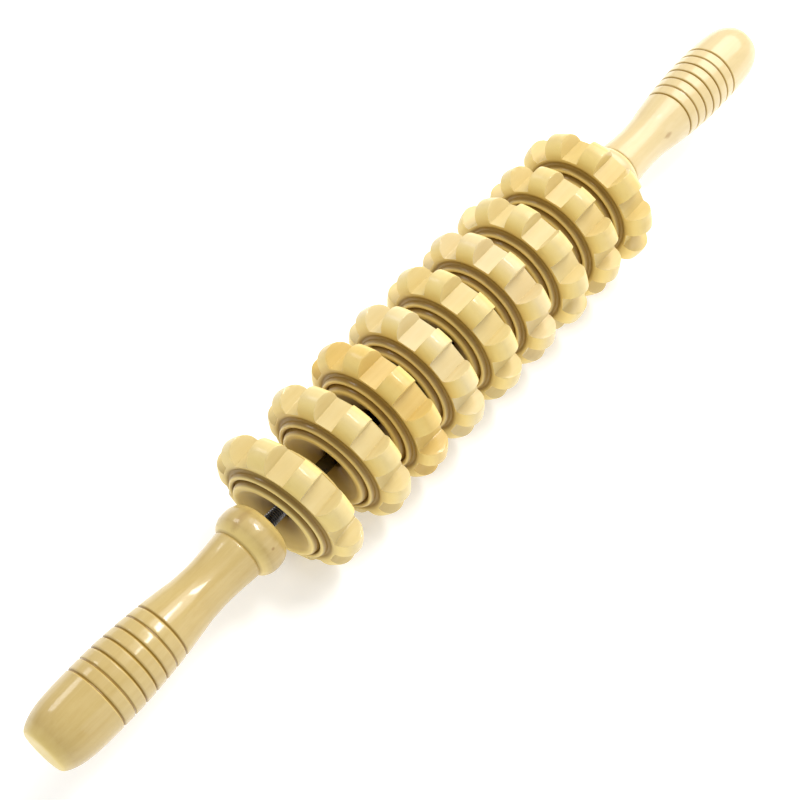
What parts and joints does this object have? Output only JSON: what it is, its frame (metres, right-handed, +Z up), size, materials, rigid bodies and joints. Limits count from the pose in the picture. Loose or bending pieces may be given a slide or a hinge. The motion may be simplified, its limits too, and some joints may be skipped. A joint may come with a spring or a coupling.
{
  "type": "hand-held massage roller",
  "caption": "Straight wooden roller stick: toothed wooden wheels spin freely on a steel axle held between two turned, grooved handles.",
  "frame": {"origin": "middle of the axle, which is the middle of the whole stick", "axes": "+X along the axle from the near handle to the far handle, +Z up with the stick lying level"},
  "size_m": [0.371, 0.055, 0.055],
  "materials": {
    "handle_wood": "clear gloss lacquer",
    "wheel_wood": "clear gloss lacquer",
    "wheel_wood_amber": "clear gloss lacquer",
    "axle_steel": "drawn and threaded",
    "washer_steel": "satin",
    "insert_brass": "machined"
  },
  "bodies": {
    "stick": {"axle": "axle_steel", "near_handle": "handle_wood", "near_threaded_insert": "insert_brass", "near_thrust_washer": "washer_steel", "far_handle": "handle_wood", "far_threaded_insert": "insert_brass", "far_thrust_washer": "washer_steel"},
    "wheel_1": {"wheel_1": "wheel_wood"},
    "wheel_2": {"wheel_2": "wheel_wood"},
    "wheel_3": {"wheel_3": "wheel_wood_amber"},
    "wheel_4": {"wheel_4": "wheel_wood"},
    "wheel_5": {"wheel_5": "wheel_wood"},
    "wheel_6": {"wheel_6": "wheel_wood"},
    "wheel_7": {"wheel_7": "wheel_wood"},
    "wheel_8": {"wheel_8": "wheel_wood"},
    "wheel_9": {"wheel_9": "wheel_wood"}
  },
  "joints": [
    {"name": "wheel_1_spin", "type": "hinge", "parent": "stick", "child": "wheel_1", "pos_m": [-0.0782, 0, 0], "axis": [0.9963, 0.0784, 0.0349], "continuous": true},
    {"name": "wheel_2_spin", "type": "hinge", "parent": "stick", "child": "wheel_2", "pos_m": [-0.0542, 0, 0], "axis": [0.998, 0.061, 0.0175], "continuous": true},
    {"name": "wheel_3_spin", "type": "hinge", "parent": "stick", "child": "wheel_3", "pos_m": [-0.0338, 0, 0], "axis": [1, 0, 0], "continuous": true},
    {"name": "wheel_4_spin", "type": "hinge", "parent": "stick", "child": "wheel_4", "pos_m": [-0.0144, 0, 0], "axis": [1, 0, 0], "continuous": true},
    {"name": "wheel_5_spin", "type": "hinge", "parent": "stick", "child": "wheel_5", "pos_m": [0.006, 0, 0], "axis": [1, 0, 0], "continuous": true},
    {"name": "wheel_6_spin", "type": "hinge", "parent": "stick", "child": "wheel_6", "pos_m": [0.0254, 0, 0], "axis": [1, 0, 0], "continuous": true},
    {"name": "wheel_7_spin", "type": "hinge", "parent": "stick", "child": "wheel_7", "pos_m": [0.0448, 0, 0], "axis": [1, 0, 0], "continuous": true},
    {"name": "wheel_8_spin", "type": "hinge", "parent": "stick", "child": "wheel_8", "pos_m": [0.0641, 0, 0], "axis": [1, 0, 0], "continuous": true},
    {"name": "wheel_9_spin", "type": "hinge", "parent": "stick", "child": "wheel_9", "pos_m": [0.0834, 0, 0], "axis": [1, 0, 0], "continuous": true}
  ]
}
